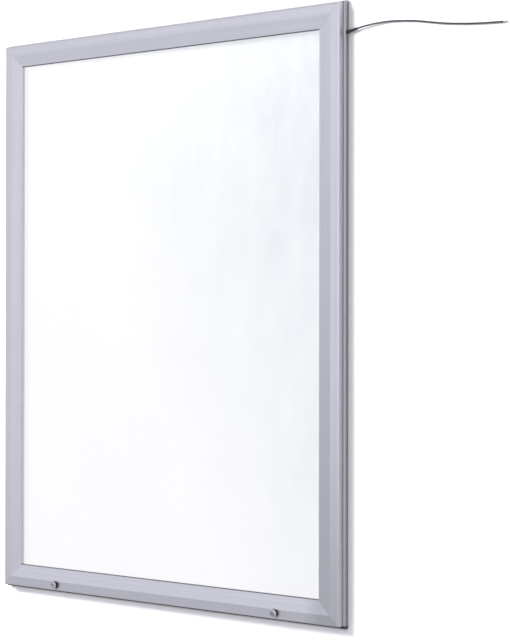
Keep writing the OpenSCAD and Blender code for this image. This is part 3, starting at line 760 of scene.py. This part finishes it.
def splice():
    """Two-way terminal with a screw well over each way."""
    way, well_half, top = 3, 1.7, 5.65
    bm = bmesh.new()
    block(bm, (6.7, 12, 2.6), 4.35)
    upright = [edge for edge in bm.edges if abs(edge.verts[0].co.z - edge.verts[1].co.z) > 1]
    round_edges(bm, upright, 0.5, 3)
    near, far = way - well_half, way + well_half
    sink(bm, top, ((-well_half, well_half), (-far, -near, near, far)), lambda c: (
        abs(c.x) < well_half and near < abs(c.y) < far), 1.1)
    for y in (-way, way):
        head = bmesh.ops.create_cone(bm, cap_ends=True, segments=24, radius1=1.45, radius2=1.3, depth=0.5)
        bmesh.ops.translate(bm, vec=(0, y, 4.85), verts=head["verts"])
    place_at(bm, Matrix.Translation((316.35, 0, LEAD_UP)) @ FRONT)
    finish_piece(bm, "splice_terminal", splice_plastic, "base", "splice_plastic", "splice_block")


strain_relief()
cores = bare_cores()
splice()


# Finishes of the CAD nodes that stay

def dress(material, *names):
    for name in names:
        slots = nodes[name].data.materials
        slots.clear()
        slots.append(material)


dress(rail_metal, "base_rail_top", "base_rail_bottom", "door_rail_top", "door_rail_bottom")
dress(stile_metal, "base_rail_left", "base_rail_right", "door_stile_left", "door_stile_right")
dress(steel, "base_corner_keys", "door_corner_keys", "panel_clips")
dress(steel, "lock_nuts", "lock_cam_left", "lock_cam_right")
dress(back_coat, "back_panel")
dress(film, "reflector_sheet")
dress(guide, "light_guide")
dress(opal, "diffuser_panel")
dress(board, "led_board_left", "led_board_right")
dress(phosphor, "led_chips_left", "led_chips_right")
dress(nylon, "hinge_end_plugs")
dress(sleeve, "feed_wire_left", "feed_wire_right")
dress(pane, "front_pane")


# Wall, floor and light

FLOOR_Z = -1.5


def stage_sheet():
    bm = bmesh.new()
    bmesh.ops.create_grid(bm, x_segments=1, y_segments=1, size=5)
    return bm


def add_stage(bm, name):
    mesh = bpy.data.meshes.new(name)
    bm.to_mesh(mesh)
    bm.free()
    material, tree, shader, output, place = blank_finish(name)
    give(tree, shader, {"Roughness": 0.9, "Specular IOR Level": 0.1})
    mesh.materials.append(material)
    made = bpy.data.objects.new(name, mesh)
    bpy.context.scene.collection.objects.link(made)
    return made, tree, shader, output, place


def wall():
    """Pale wall with a painted shadow where the case's lower edge meets it. It is left open just behind the
    case and clear from behind, so that the case's back shows."""
    overlap, gap, shade_line = 0.5 * MM, 0.2 * MM, -0.447
    bm = stage_sheet()
    for edge, direction in ((CASE_SIDE * MM - overlap, (1, 0, 0)), (CASE_TOP * MM - overlap, (0, 1, 0))):
        for offset in (-edge, edge):
            bmesh.ops.bisect_plane(
                bm, geom=[*bm.verts, *bm.edges, *bm.faces], plane_co=Vector(direction) * offset,
                plane_no=direction)
    middle = [face for face in bm.faces if face.calc_center_median().length < 0.01]
    bmesh.ops.delete(bm, geom=middle, context="FACES")
    place_at(bm, Matrix.Translation((0, gap, 0)) @ Matrix.Rotation(math.pi / 2, 4, "X"))
    _, tree, shader, output, place = add_stage(bm, "studio_wall")
    way = axes(tree, place)
    off_line = maths(tree, "ABSOLUTE", maths(tree, "SUBTRACT", way["Z"], shade_line))
    # Painted contact shadow on the wall just under the case's lower edge.
    painted_contact_shadow = maths(
        tree, "MULTIPLY", fall(tree, maths(tree, "ABSOLUTE", way["X"]), 0.322, 0.327),
        fall(tree, off_line, 0.0025, 0.0065))
    give(tree, shader, {"Base Color": blend_colour(tree, painted_contact_shadow, (0.905, 0.90, 0.935), (0.40, 0.40, 0.43))})
    let_through(tree, shader, output, node(tree, "ShaderNodeNewGeometry").outputs["Backfacing"])


def floor():
    bm = stage_sheet()
    bmesh.ops.translate(bm, vec=(0, 0, FLOOR_Z), verts=bm.verts)
    made, tree, shader, _, _ = add_stage(bm, "studio_floor")
    give(tree, shader, {"Base Color": (0.50, 0.50, 0.51, 1)})
    made.visible_glossy = False


def soft_light(name, place, size, power):
    lamp = bpy.data.lights.new(name, "AREA")
    lamp.shape = "RECTANGLE"
    lamp.size, lamp.size_y = size
    lamp.energy = power
    made = bpy.data.objects.new(name, lamp)
    made.location = place
    made.rotation_euler = (-Vector(place)).to_track_quat("-Z", "Y").to_euler()
    made.visible_glossy = False
    bpy.context.scene.collection.objects.link(made)


def daylight():
    """Broad soft light that falls off to the far left, the right, below and behind the wall, with a brighter
    patch straight in front of the case. The camera itself sees it plain."""
    world = bpy.data.worlds.new("studio")
    world.use_nodes = True
    tree = world.node_tree
    ways = node(tree, "ShaderNodeTexCoord").outputs["Generated"]
    way = axes(tree, ways)
    level = spread(tree, way["X"], 0.77, 0.96, -1.0, -0.3)
    for falling in (
            spread(tree, way["X"], 1.0, 0.62, -0.15, 0.75), spread(tree, way["Z"], 0.5, 1.0, -0.38, -0.16),
            spread(tree, way["Y"], 1.0, 0.8, -0.2, 0.2),
            spread(tree, reach(tree, ways, (0.5, 0.0, -0.8)), 1.0, 0.86, -0.28, -0.03)):
        level = maths(tree, "MULTIPLY", level, falling)
    in_front = spread(tree, reach(tree, ways, (0.12, -0.991, 0.05)), 0.0, 0.45, 0.93, 0.985)
    level = maths(tree, "ADD", level, in_front)
    seen = node(tree, "ShaderNodeMix", {
        "Factor": node(tree, "ShaderNodeLightPath").outputs["Is Camera Ray"], "A": level, "B": 0.85})
    give(tree, tree.nodes["Background"], {
        "Color": (0.985, 0.985, 1.0, 1), "Strength": seen.outputs["Result"]})
    bpy.context.scene.world = world


wall()
floor()
soft_light("key_light", (-1.72, -2.31, 1.62), (1.0, 1.0), 160)
soft_light("back_light", (1.2, 2.6, 1.4), (2.0, 1.4), 60)
daylight()
bpy.context.scene.view_settings.view_transform = "Standard"
